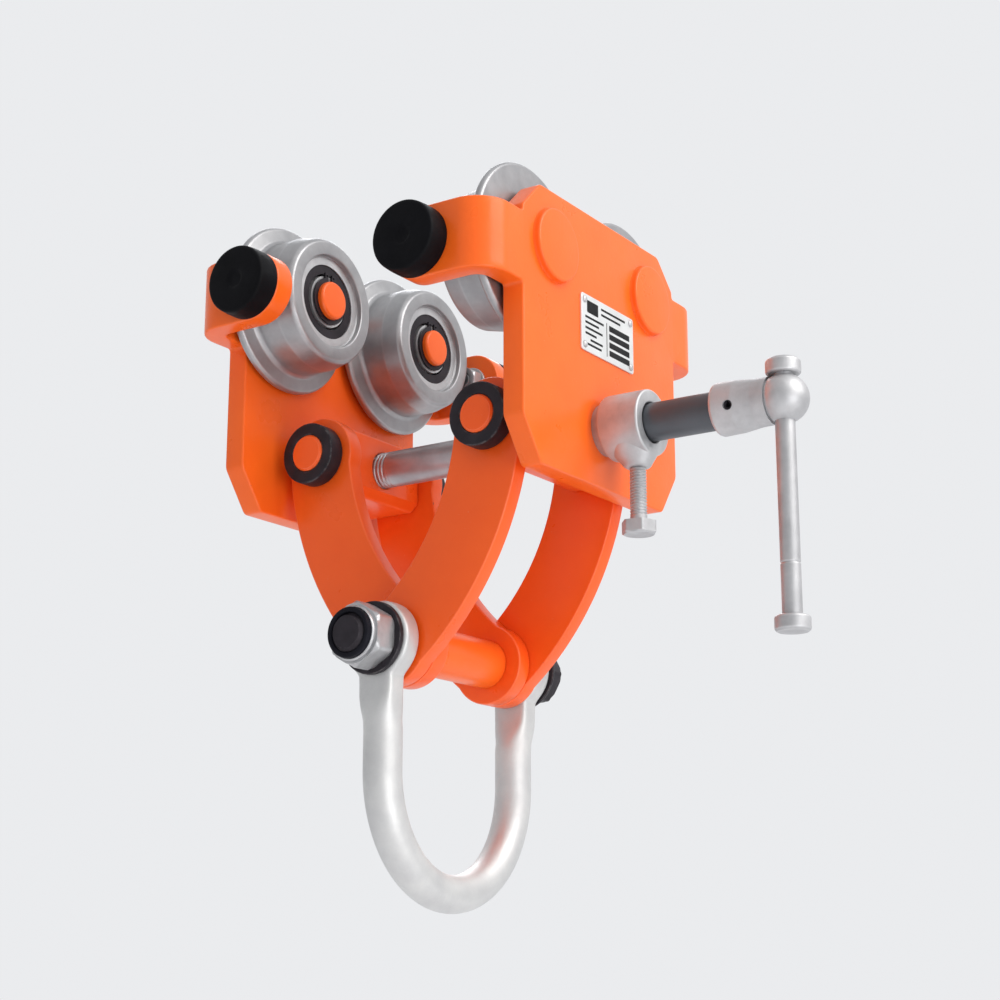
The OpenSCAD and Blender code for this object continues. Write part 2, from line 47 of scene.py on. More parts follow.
# arm pivots, inner and outer face of a side plate
PIVOT_X, PLATE_X, OUT_X = 47.5, 67.5, 77.5
# side plate: thickness, inside radius of a bend, half height of the bent strips
PLATE_T, BEND_IN, STRIP_HALF = 10.0, 5.0, 15.0
# buffers: middle of the stud, outer face of the strip behind them
BUF_X, BUF_Z, ARM_FACE = 43.5, 23.0, 87.5
# a bend: radius of its middle line, where it starts along y, its centre in x
BEND_MID = BEND_IN + PLATE_T / 2
BEND_START = ARM_FACE - BEND_IN - PLATE_T
BEND_X = OUT_X - BEND_IN - PLATE_T
# wheels: place and radius of an axle, tread and rim radius, outer and inner face of a wheel,
# faces and radius of its bearing
AXLE_Y, AXLE_Z, AXLE_R = 39.0, 30.0, 8.5
TREAD_R, RIM_R = 30.0, 38.0
WHEEL_OUT, WHEEL_IN = 65.5, 38.5
BRG_IN, BRG_OUT, BRG_R = 41.0, 53.0, 20.0
# spindle axis, and the load bolt one arm's length below the pivots
SPIN_Z, ARM_LONG = -39.5, 100.0
PIN_Z = SPIN_Z - np.sqrt(ARM_LONG ** 2 - PIVOT_X ** 2)
# shafts of 16 mm and the holes round them
SHAFT_R, BORE_R = 8.0, 8.05
# spindle blocks: half length of each, half height, inner face; retaining rings beside the arms
BLOCK_HALF, BLOCK_UP, BLOCK_FACE = {"right": 34.7, "left": 26.2}, 14.0, PIVOT_X - 9.5
RING_T, RING_R = 8.0, 13.5
# load arms: eye radius, thickness, gap to what is beside them, radius of their middle line,
# half width of the bar
EYE_R, ARM_T, GAP, ARC_R, ARM_HALF = 17.5, 8.0, 0.3, 120.0, 16.5
# shackle: outer face of the ears, radius of the ears and of the bow's middle line
EAR_OUT, EAR_R, BOW_R = 54.5, 16.0, 47.6
# lock bolt, ball of the handle, height of the tommy bar's end caps and the bar's length
LOCK_X, BALL_X, CAP_H, BAR_LONG = 93.0, 159.6, 6.4, 109.5
# a hexagon's eased corner radius over its width across flats
HEX_CORNER = 0.5665
# faces that meet at less than this many degrees are shaded as one
SMOOTH_UNDER = 38.0

ACROSS, ALONG, UP = (1, 0, 0), (0, 1, 0), (0, 0, 1)
SPINDLE_MID, BOLT_MID = np.array([0, 0, SPIN_Z]), np.array([0, 0, PIN_Z])


# ---------- surfaces ----------

def soften(points, radius, steps=5, closed=False):
    """Rounds the corners of a polyline: each corner becomes a parabola that leaves one side
    radius before the corner and joins the next side radius after it (less where a side is
    short). A point where the line runs nearly straight on, its sine of turn under 0.02, stays
    one point. Returns the points and, for each, 1 at an outward corner's middle, else 0."""
    p = np.asarray(points, float)
    before, after = np.roll(p, 1, 0) - p, np.roll(p, -1, 0) - p
    len_b, len_a = np.hypot(*before.T), np.hypot(*after.T)
    reach = np.minimum(radius, 0.45 * np.minimum(len_b, len_a))[:, None]
    start = p + before / np.maximum(len_b, 1e-9)[:, None] * reach
    end = p + after / np.maximum(len_a, 1e-9)[:, None] * reach
    t = np.linspace(0, 1, steps)[None, :, None]
    arcs = (1 - t) ** 2 * start[:, None] + 2 * t * (1 - t) * p[:, None] + t ** 2 * end[:, None]
    area = np.sum(p[:, 0] * np.roll(p[:, 1], -1) - p[:, 1] * np.roll(p[:, 0], -1))
    turn = -before[:, 0] * after[:, 1] + before[:, 1] * after[:, 0]
    sharp = np.abs(turn) > 0.02 * len_b * len_a
    outward = (sharp & (turn * area > 0))[:, None] * (4 * t * (1 - t))[0, :, 0][None, :]
    kept = sharp[:, None] | (np.arange(steps) == steps // 2)[None, :]
    if closed:
        return arcs[kept], outward[kept]
    inner, worn = arcs[1:-1][kept[1:-1]], outward[1:-1][kept[1:-1]]
    return np.vstack([p[:1], inner, p[-1:]]), np.concatenate([[0.0], worn, [0.0]])


def divide(points, step):
    """Adds points along every side of a closed polyline, evenly, none further apart than step."""
    p = np.asarray(points, float)
    q = np.roll(p, -1, 0)
    parts = np.maximum(1, np.ceil(np.hypot(*(q - p).T) / step)).astype(int)
    index = np.repeat(np.arange(len(p)), parts)
    share = np.concatenate([np.arange(k) / k for k in parts])[:, None]
    return p[index] * (1 - share) + q[index] * share


def band(rows, cols, wrap_rows=False):
    """Quads between neighbouring rows of a grid whose columns close on themselves."""
    r = np.arange(rows if wrap_rows else rows - 1)[:, None]
    c = np.arange(cols)[None, :]
    low, high = r * cols, ((r + 1) % rows) * cols
    nxt = (c + 1) % cols
    return np.stack([low + c, low + nxt, high + nxt, high + c], -1).reshape(-1, 4)


def shell(verts, faces, worn=None):
    """A closed surface with its faces outwards: the signed volume under its faces, the sum of
    corner . (next x next) / 6 over their triangles, is made positive by reversing the faces."""
    v = np.asarray(verts, float)
    v0 = v - v.mean(0)
    volume = 0.0
    for f in faces:
        for k in range(1, f.shape[1] - 1):
            volume += np.einsum("ij,ij->", v0[f[:, 0]], np.cross(v0[f[:, k]], v0[f[:, k + 1]]))
    if volume < 0:
        faces = [f[:, ::-1] for f in faces]
    return v, faces, np.zeros(len(v)) if worn is None else np.asarray(worn, float)


def frame_of(axis):
    """Two unit vectors square to the axis and to each other."""
    a = np.asarray(axis, float)
    side = np.cross(a, [0, 0, 1]) if abs(a[2]) < 0.9 else np.array([1.0, 0, 0])
    side /= np.linalg.norm(side)
    return side, np.cross(a, side)


def turned(profile, centre, axis, n=96, radius=0.5, loop=False, flats=0.0, turn=0.0, wave=None):
    """Turned body: the profile's point (s, r), at angle t, goes to
    centre + s axis + r (cos t side + sin t up). With flats the radius is at most
    (flats / 2) / cos(angle to the middle of the nearest of six flats), corners eased.
    wave(s, t, r) may change the radius."""
    line, worn = soften(profile, radius, closed=loop)
    t = np.arange(n) * TAU / n
    s, r = line[:, :1] + 0 * t, line[:, 1:] + 0 * t
    if flats:
        off = (t - turn + TAU / 12) % (TAU / 6) - TAU / 12
        r = np.minimum(r, np.minimum(flats / 2 / np.cos(off), flats * HEX_CORNER)[None, :])
    if wave is not None:
        r = wave(s, t[None, :], r)
    side, up = frame_of(axis)
    ring = np.cos(t)[:, None] * side + np.sin(t)[:, None] * up
    v = np.asarray(centre, float) + s[..., None] * np.asarray(axis, float) + r[..., None] * ring
    wear = np.repeat(worn, n)
    rows = len(line)
    if loop:
        return shell(v.reshape(-1, 3), [band(rows, n, True)], wear)
    v, wear = v[1:-1].reshape(-1, 3), wear[n:-n]
    ends = np.asarray(centre, float) + line[[0, -1], :1] * np.asarray(axis, float)
    k = np.arange(n)
    first = np.stack([np.full(n, len(v)), (k + 1) % n, k], -1)
    last_row = (rows - 3) * n
    last = np.stack([np.full(n, len(v) + 1), last_row + k, last_row + (k + 1) % n], -1)
    return shell(np.vstack([v, ends]), [band(rows - 2, n), first, last], np.append(wear, [0, 0]))


def inset(outline, d):
    """Moves each point of a closed anticlockwise outline inwards so that every side moves by d."""
    edge = np.roll(outline, -1, 0) - outline
    edge /= np.hypot(*edge.T)[:, None]
    normal = np.stack([-edge[:, 1], edge[:, 0]], -1)
    both = normal + np.roll(normal, 1, 0)
    return outline + d * both * (2 / np.einsum("ij,ij->i", both, both))[:, None]


def within(points, outline):
    """True for points inside a closed outline: a ray along +u from such a point crosses an odd
    number of sides."""
    a, b = outline[None], np.roll(outline, -1, 0)[None]
    p = points[:, None]
    spans = (a[..., 1] > p[..., 1]) != (b[..., 1] > p[..., 1])
    rise = np.where(spans, b[..., 1] - a[..., 1], 1.0)
    cross = a[..., 0] + (p[..., 1] - a[..., 1]) * (b[..., 0] - a[..., 0]) / rise
    return np.sum(spans & (p[..., 0] < cross), 1) % 2 == 1


def slab(outline, low, high, edge, place, holes=(), inner=()):
    """Flat body with rounded edges. Its outline is carried through the thickness w from low to
    high, drawn in by edge (1 - sin f) where w is edge (1 - cos f) from a face. Round holes
    (u, v, radius) are carried the same way, and both faces are triangulated between them.
    place(u, v, w) puts every point in the world, so that it may also bend the body."""
    f = np.linspace(0, np.pi / 2, 5)
    draw = np.concatenate([edge * (1 - np.sin(f)), edge * (1 - np.sin(f[::-1]))])
    depth = np.concatenate([low + edge * (1 - np.cos(f)), high - edge * (1 - np.cos(f[::-1]))])
    rings, counts = [np.stack([inset(outline, d) for d in draw])], []
    for u, v, radius in holes:
        t = np.arange(64) * TAU / 64
        circle = np.stack([np.cos(t), np.sin(t)], -1)
        rings.append(np.array([u, v]) + (radius + draw[:, None, None]) * circle)
    rows = len(draw)
    wear_row = np.concatenate([np.sin(2 * f), np.sin(2 * f[::-1])])
    points, faces, wear, start = [], [], [], 0
    for ring in rings:
        n = ring.shape[1]
        uvw = np.concatenate([ring, np.broadcast_to(depth[:, None, None], (rows, n, 1))], -1)
        points.append(uvw.reshape(-1, 3))
        faces.append(band(rows, n) + start)
        wear.append(np.repeat(wear_row, n))
        counts.append((start, n))
        start += rows * n
    faces = faces[:1] + [q[:, ::-1] for q in faces[1:]]
    inner = np.asarray(inner, float).reshape(-1, 2)
    for row, flip in ((0, True), (rows - 1, False)):
        index = [s + row * n + np.arange(n) for s, n in counts]
        loops, at = [], 0
        for ids in index:
            k = np.arange(len(ids)) + at
            loops += np.stack([k, np.roll(k, -1)], -1).tolist()
            at += len(ids)
        index.append(start + np.arange(len(inner)))
        index = np.concatenate(index)
        points.append(np.column_stack([inner, np.full(len(inner), depth[row])]))
        wear.append(np.zeros(len(inner)))
        start += len(inner)
        flat = np.concatenate(points)[index, :2]
        out = delaunay_2d_cdt([Vector(p) for p in flat.tolist()], loops, [], 1, 1e-6, True)
        source = np.array([ids[0] for ids in out[3]])
        tri = source[np.array(out[2])]
        middle = flat[tri].mean(1)
        keep = within(middle, rings[0][0])
        for u, v, radius in holes:
            keep &= np.hypot(middle[:, 0] - u, middle[:, 1] - v) > radius + edge
        tri = index[tri[keep]]
        a, b, c = (np.concatenate(points)[tri[:, k], :2] for k in range(3))
        up = (b - a)[:, 0] * (c - a)[:, 1] - (b - a)[:, 1] * (c - a)[:, 0]
        tri = np.where((up > 0)[:, None] == flip, tri[:, ::-1], tri)
        faces.append(tri)
    verts = np.concatenate(points)
    return shell(place(*verts.T), faces, np.concatenate(wear))


def swept(centres, across, beside, half_a, half_b, power, closed=False, n=40):
    """Tube along a path: at angle t its section is centre + half_a |cos t|^(2/power) across
    + half_b |sin t|^(2/power) beside, an oval at power 2 and a soft-cornered bar above it.
    An open tube closes on its first and last centre."""
    t = np.arange(n) * TAU / n
    c, s = np.cos(t), np.sin(t)
    e = 2 / np.broadcast_to(power, len(centres))[:, None]
    ca, sb = np.sign(c) * np.abs(c) ** e, np.sign(s) * np.abs(s) ** e
    a = (np.broadcast_to(half_a, len(centres))[:, None] * ca)[..., None]
    b = (np.broadcast_to(half_b, len(centres))[:, None] * sb)[..., None]
    v = centres[:, None] + a * across[:, None] + b * beside[:, None]
    if closed:
        return shell(v.reshape(-1, 3), [band(len(centres), n, True)])
    v = v[1:-1].reshape(-1, 3)
    rows, k = len(centres) - 2, np.arange(n)
    first = np.stack([np.full(n, len(v)), (k + 1) % n, k], -1)
    last_row = (rows - 1) * n
    last = np.stack([np.full(n, len(v) + 1), last_row + k, last_row + (k + 1) % n], -1)
    return shell(np.vstack([v, centres[[0, -1]]]), [band(rows, n), first, last])


def ring_line(low, high, bore, radius):
    """Profile of a plain ring, a rectangle from low to high and from bore to radius."""
    return [[low, bore], [low, radius], [high, radius], [high, bore]]


def ease(x, low, high):
    """Smooth step: 0 below low, 1 above high, 3 h^2 - 2 h^3 between."""
    h = np.clip((x - low) / (high - low), 0, 1)
    return h * h * (3 - 2 * h)


def piece(name, shells, surface, body, stands_for=(), flip_x=False):
    """Joins shells into one object of the scene, in metres, shaded smooth except where two faces
    meet at SMOOTH_UNDER or more, puts it under its body and hides the CAD nodes it stands for.
    flip_x mirrors it to the other side of the beam."""
    verts, faces, worn, at = [], [], [], 0
    for v, parts, w in shells:
        verts.append(v * ([-1, 1, 1] if flip_x else [1, 1, 1]))
        faces += [(f[:, ::-1] if flip_x else f) + at for f in parts]
        worn.append(w)
        at += len(v)
    mesh = bpy.data.meshes.new(name)
    corners = [q for f in faces for q in f.tolist()]
    mesh.from_pydata((np.concatenate(verts) * MM).tolist(), [], corners)
    # edge marks outward corners; finishes use it for chips and rubbed wear, and the enamels also for a
    # painted highlight
    edge = mesh.attributes.new("edge", "FLOAT", "POINT")
    edge.data.foreach_set("value", np.concatenate(worn).astype(np.float32))
    mesh.shade_smooth()
    mesh.set_sharp_from_angle(angle=np.radians(SMOOTH_UNDER))
    mesh.materials.append(surface)
    obj = bpy.data.objects.new(name, mesh)
    bpy.context.scene.collection.objects.link(obj)
    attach(obj, body)
    if stands_for:
        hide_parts(*stands_for)
    return obj


# ---------- finishes ----------

class Finish:
    """Node material built step by step. Every pattern reads the piece's own Object coordinates."""

    def __init__(self, name, metallic, **shader):
        self.material = bpy.data.materials.new(name)
        self.material.use_nodes = True
        self.tree = self.material.node_tree
        self.shader = self.tree.nodes["Principled BSDF"]
        self.shader.inputs["Metallic"].default_value = metallic
        for socket, value in shader.items():
            self.shader.inputs[socket.replace("_", " ")].default_value = value
        self.where = self.tree.nodes.new("ShaderNodeTexCoord").outputs["Object"]

    def node(self, kind, links=(), **settings):
        made = self.tree.nodes.new(kind)
        for key, value in settings.items():
            setattr(made, key, value)
        for socket, value in dict(links).items():
            if isinstance(value, bpy.types.NodeSocket):
                self.tree.links.new(value, made.inputs[socket])
            else:
                made.inputs[socket].default_value = value
        return made

    def noise(self, scale, detail=4.0, rough=0.55, stretch=None):
        """Cloudy noise between 0 and 1, scale in spots per metre, drawn out along stretch."""
        where = self.where
        if stretch:
            where = self.node("ShaderNodeMapping", {"Vector": where, "Scale": stretch}).outputs[0]
        links = {"Vector": where, "Scale": scale, "Detail": detail, "Roughness": rough}
        return self.node("ShaderNodeTexNoise", links).outputs[0]

    def spread(self, value, low, high, to_low, to_high):
        """Straight-line change of range, held at its ends."""
        links = {"Value": value, "From Min": low, "From Max": high,
                 "To Min": to_low, "To Max": to_high}
        return self.node("ShaderNodeMapRange", links).outputs[0]

    def math(self, operation, a, b=0.0):
        return self.node("ShaderNodeMath", {0: a, 1: b}, operation=operation).outputs[0]

    def mix(self, factor, a, b):
        """Colour a where factor is 0 and b where it is 1."""
        made = self.node("ShaderNodeMix", {"Factor": factor}, data_type="RGBA")
        for socket, value in (("A", a), ("B", b)):
            slot = next(s for s in made.inputs if s.name == socket and s.type == "RGBA")
            if isinstance(value, bpy.types.NodeSocket):
                self.tree.links.new(value, slot)
            else:
                slot.default_value = (*value, 1.0)
        return next(s for s in made.outputs if s.type == "RGBA")

    def edge(self):
        return self.node("ShaderNodeAttribute", attribute_name="edge").outputs["Fac"]

    def bump(self, height, strength, distance, under=None):
        links = {"Height": height, "Strength": strength, "Distance": distance}
        if under is not None:
            links["Normal"] = under
        return self.node("ShaderNodeBump", links).outputs[0]

    def join(self, colour, rough=None, normal=None):
        for socket, value in (("Base Color", colour), ("Roughness", rough), ("Normal", normal)):
            if value is not None:
                self.tree.links.new(value, self.shader.inputs[socket])
        return self.material


def scaled(colour, factor, add=0.0):
    """The colour times factor plus add, no part of it above 1."""
    return tuple(min(1.0, factor * c + add) for c in colour)


def enamel(name, face, deep, chip=0.68, painted_rim_highlight=0.1):
    """Sprayed gloss enamel: slow drift between face and deep colour, orange-peel bump, outward edges
    painted paler as a painted highlight by the given share, small bare chips there where noise passes
    chip, and specks of dust."""
    f = Finish(name, 0.0, Specular_IOR_Level=0.32, Coat_Weight=0.12, Coat_Roughness=0.2)
    drift = f.spread(f.noise(38, 3), 0.3, 0.7, 0.0, 1.0)
    colour = f.mix(f.math("MULTIPLY", drift, 0.35), face, deep)
    edge = f.edge()
    # painted highlight: outward edges painted paler, standing in for light caught on the edges
    colour = f.mix(f.math("MULTIPLY", edge, painted_rim_highlight), colour, scaled(face, 1.1, 0.06))
    bare = f.spread(f.noise(420, 5, 0.7), chip, chip + 0.04, 0.0, 1.0)
    chips = f.math("MULTIPLY", edge, bare)
    colour = f.mix(chips, colour, (0.09, 0.07, 0.06))
    dust = f.spread(f.noise(1500, 2), 0.74, 0.78, 0.0, 0.35)
    colour = f.mix(dust, colour, (0.80, 0.62, 0.50))
    gloss = f.spread(f.noise(55, 4), 0.3, 0.7, 0.26, 0.40)
    rough = f.math("ADD", gloss, f.math("MULTIPLY", chips, 0.3))
    peel = f.bump(f.noise(620, 2, 0.4), 0.10, 0.0004)
    sag = f.bump(f.noise(60, 2, 0.4), 0.08, 0.002, peel)
    return f.join(colour, rough, sag)


def plated(name, light, dark, rough=(0.30, 0.46), grain=(1, 1, 1), grain_scale=900, metallic=0.92,
           smudge=0.30):
    """Zinc-plated steel: cloudy passivation between two greys, fine grain drawn out along the way
    it was worked, dull finger marks, and brighter rubbed outward edges."""
    f = Finish(name, metallic)
    cloud = f.spread(f.noise(85, 5, 0.6), 0.32, 0.68, 0.0, 1.0)
    colour = f.mix(cloud, dark, light)
    stain = f.spread(f.noise(24, 3), 0.52, 0.72, 0.0, smudge)
    colour = f.mix(stain, colour, scaled(dark, 0.62))
    colour = f.mix(f.math("MULTIPLY", f.edge(), 0.45), colour, scaled(light, 1.12))
    lines = f.noise(grain_scale, 3, 0.6, grain)
    dull = f.spread(f.noise(70, 4), 0.3, 0.7, *rough)
    fine = f.math("ADD", dull, f.spread(lines, 0.3, 0.7, -0.05, 0.05))
    return f.join(colour, fine, f.bump(lines, 0.10, 0.0002))


def rod_steel(name, bright, dark, change):
    """Ground rod: bright steel that turns to a dark grey where x passes change, in metres; the dark
    part is a painted reflection on the same steel, with fine marks round the rod and cloudy oil."""
    f = Finish(name, 0.85)
    x = f.node("ShaderNodeSeparateXYZ", {0: f.where}).outputs[0]
    # painted reflection: past x = change the rod is painted dark grey, the same steel mirroring
    # something dark
    colour = f.mix(f.spread(x, change - 0.003, change + 0.003, 0.0, 1.0), bright, dark)
    oil = f.spread(f.noise(60, 4), 0.35, 0.7, 0.0, 0.45)
    colour = f.mix(oil, colour, scaled(dark, 0.8))
    marks = f.noise(500, 3, 0.6, (9, 1, 1))
    dull = f.spread(f.noise(70, 4), 0.3, 0.7, 0.34, 0.48)
    fine = f.math("ADD", dull, f.spread(marks, 0.3, 0.7, -0.04, 0.04))
    return f.join(colour, fine, f.bump(marks, 0.10, 0.0002))


def blackened(name, tone, rough, metallic, rub):
    """Black oxide on steel: near-black with brown cloud, grey metal rubbed through on edges."""
    f = Finish(name, metallic, Specular_IOR_Level=0.3)
    cloud = f.spread(f.noise(120, 4), 0.35, 0.7, 0.0, 1.0)
    colour = f.mix(cloud, tone, scaled(tone, 1.7))
    worn = f.spread(f.noise(300, 4, 0.7), 0.45, 0.65, 0.0, rub)
    rubbed = f.math("MULTIPLY", f.edge(), worn)
    colour = f.mix(rubbed, colour, (0.30, 0.29, 0.28))
    fine = f.spread(f.noise(160, 4), 0.3, 0.7, *rough)
    return f.join(colour, fine, f.bump(f.noise(1100, 3), 0.12, 0.0002))


def moulded(name, tone):
    """Moulded rubber: soft near-black with grey bloom, a fine matt pitted skin."""
    f = Finish(name, 0.0, Specular_IOR_Level=0.1)
    bloom = f.spread(f.noise(75, 5, 0.65), 0.45, 0.8, 0.0, 0.45)
    colour = f.mix(bloom, tone, scaled(tone, 2.6))
    fine = f.spread(f.noise(200, 4), 0.3, 0.7, 0.46, 0.66)
    skin = f.bump(f.noise(1900, 2), 0.22, 0.0002, f.bump(f.noise(260, 3), 0.15, 0.0005))
    return f.join(colour, fine, skin)


def lathe_cut(name, light, dark, centre, pitch):
    """Faced on a lathe: the height is a sine of the distance from a line along x through centre,
    one wave every pitch metres, so the cut shows as fine rings, over cloudy plating."""
    f = Finish(name, 0.8)
    cloud = f.spread(f.noise(90, 5, 0.6), 0.34, 0.66, 0.0, 1.0)
    colour = f.mix(cloud, dark, light)
    away = {"Vector": f.where, "Location": tuple(-c * MM for c in centre)}
    shift = f.node("ShaderNodeMapping", away).outputs[0]
    squash = {0: shift, 1: (0.0, 1.0, 1.0)}
    flat = f.node("ShaderNodeVectorMath", squash, operation="MULTIPLY").outputs[0]
    reach = f.node("ShaderNodeVectorMath", {0: flat}, operation="LENGTH").outputs["Value"]
    rings = f.math("SINE", f.math("MULTIPLY", reach, TAU / pitch))
    colour = f.mix(f.math("MULTIPLY", f.edge(), 0.4), colour, scaled(light, 1.15))
    fine = f.spread(f.noise(130, 4), 0.3, 0.7, 0.36, 0.46)
    return f.join(colour, fine, f.bump(rings, 0.07, 0.00004))


orange = enamel("orange enamel", (0.95, 0.142, 0.012), (0.86, 0.100, 0.006))
# a deeper copy of the same orange enamel: painted shade for the less lit arms and spindle blocks, with
# outward edges painted much paler as a highlight
orange_shaded = enamel("orange enamel arms", (0.95, 0.118, 0.011), (0.84, 0.080, 0.006), 0.66, 0.5)
zinc = plated("zinc plate", (0.58, 0.58, 0.59), (0.42, 0.42, 0.43), (0.38, 0.52), metallic=0.85)
zinc_forged = plated("zinc plate on forging", (0.68, 0.68, 0.67), (0.60, 0.60, 0.60), (0.44, 0.56),
                     metallic=0.7, smudge=0.10)
zinc_turned = plated("zinc plate turned", (0.58, 0.58, 0.59), (0.44, 0.44, 0.45), (0.44, 0.56),
                     (9, 1, 1), 420, 0.75, 0.25)
zinc_drawn = plated("zinc plate on drawn bar", (0.55, 0.55, 0.56), (0.42, 0.42, 0.43), (0.40, 0.52),
                    (1, 1, 0.06), 1500, 0.75, 0.25)
label_metal = plated("brushed label metal", (0.76, 0.77, 0.77), (0.66, 0.67, 0.67), (0.40, 0.50),
                     (1, 9, 1), 1200, 0.5, 0.15)
oxide = blackened("black oxide", (0.018, 0.015, 0.019), (0.36, 0.55), 0.35, 0.3)
# painted reflection: the spindle is painted dark from x = 71 mm towards the handle
spindle_steel = rod_steel("spindle steel", (0.50, 0.50, 0.52), (0.115, 0.122, 0.135), 0.071)
screw_steel = plated("oiled steel", (0.36, 0.36, 0.37), (0.20, 0.20, 0.21), (0.30, 0.45))
bearing_steel = lathe_cut("ground bearing steel", (0.62, 0.62, 0.63), (0.48, 0.48, 0.49),
                          (0, 0, AXLE_Z), 0.0004)
rubber = moulded("buffer rubber", (0.002, 0.002, 0.003))
nylon = moulded("nylon insert", (0.008, 0.008, 0.012))
ink = moulded("plate ink", (0.015, 0.015, 0.016))

# ---------- side plates ----------


def plate_outline():
    """Octagon of the plate with a strip on each side that ends in a half circle; the strip is
    drawn unrolled, so that its length along u is the bend's middle-line length."""
    strip_end = BEND_START + BEND_MID * np.pi / 2 + (BEND_X - BUF_X)
    t = np.linspace(-np.pi / 2, np.pi / 2, 25)
    cap = np.stack([strip_end + STRIP_HALF * np.cos(t), BUF_Z + STRIP_HALF * np.sin(t)], -1)
    low = [[49, -64.5], [62, -46.5], [62, BUF_Z - STRIP_HALF]]
    high = [[62, BUF_Z + STRIP_HALF], [62, 41], [49, 54]]
    half = np.vstack([low, cap, high])
    return np.vstack([half, (half * [-1, 1])[::-1]])


def bend_plate(u, v, w):
    """Rolls the strips in: up to BEND_START from the middle a point stays at y = u; on the bend it
    turns by (|u| - BEND_START) / BEND_MID about the bend centre; past it the strip runs straight
    inwards."""
    past = np.maximum(np.abs(u) - BEND_START, 0)
    angle = np.minimum(past / BEND_MID, np.pi / 2)
    rest = np.maximum(past - BEND_MID * np.pi / 2, 0)
    radius = BEND_IN + w
    x = np.where(past > 0, BEND_X + radius * np.cos(angle) - rest, PLATE_X + w)
    y = np.where(past > 0, BEND_START + radius * np.sin(angle), np.abs(u)) * np.sign(u)
    return np.stack([x, y, v], -1)


outline, _ = soften(plate_outline(), 1.6, 4, closed=True)
outline = divide(outline, 2.2)
# extra points on the faces of both bends, so that they roll smoothly
bend_end = 88.2
bend_u, bend_v = np.meshgrid(np.linspace(BEND_START, bend_end, 17),
                             np.linspace(BUF_Z - 12, BUF_Z + 12, 7))
bend_u = np.concatenate([bend_u.ravel(), -bend_u.ravel()])
bend_points = np.stack([bend_u, np.tile(bend_v.ravel(), 2)], -1)


def weld_bead(loop, ripple, thick):
    """Fillet weld: a closed tube along the joint, laid half into both parts. Its radius is thick
    times 1 plus a 9 percent sine every ripple mm along it, which runs unevenly, and a slower
    5 percent one."""
    step = 0.45
    p = divide(loop, step)
    ahead = np.roll(p, -1, 0) - np.roll(p, 1, 0)
    ahead /= np.hypot(*ahead.T)[:, None]
    s = np.arange(len(p)) * step
    beads = np.sin(TAU * s / ripple + 1.1 * np.sin(s * 0.37))
    size = thick * (1 + 0.09 * beads + 0.05 * np.sin(s * 0.83))
    centres = np.column_stack([np.full(len(p), PLATE_X - 0.2), p])
    across = np.tile([1.0, 0, 0], (len(p), 1))
    beside = np.column_stack([np.zeros(len(p)), ahead[:, 1], -ahead[:, 0]])
    return swept(centres, across, beside, size, size, 2.0, closed=True, n=14)


SLOPE_FROM, SLOPE_DEPTH = -10.0, 8.0


def sloped_block(u, v, w):
    """Puts the block in place, its lower inner edge cut back: below v = SLOPE_FROM the inner face
    moves outwards by as much as it drops, fading to nothing SLOPE_DEPTH deeper in."""
    drop = np.clip(SLOPE_FROM - v, 0, BLOCK_UP + SLOPE_FROM)
    slope = drop * np.clip(1 - (w - BLOCK_FACE) / SLOPE_DEPTH, 0, 1)
    return np.stack([w + slope, u, v + SPIN_Z], -1)


def side_of(x_sign):
    return "right" if x_sign > 0 else "left"


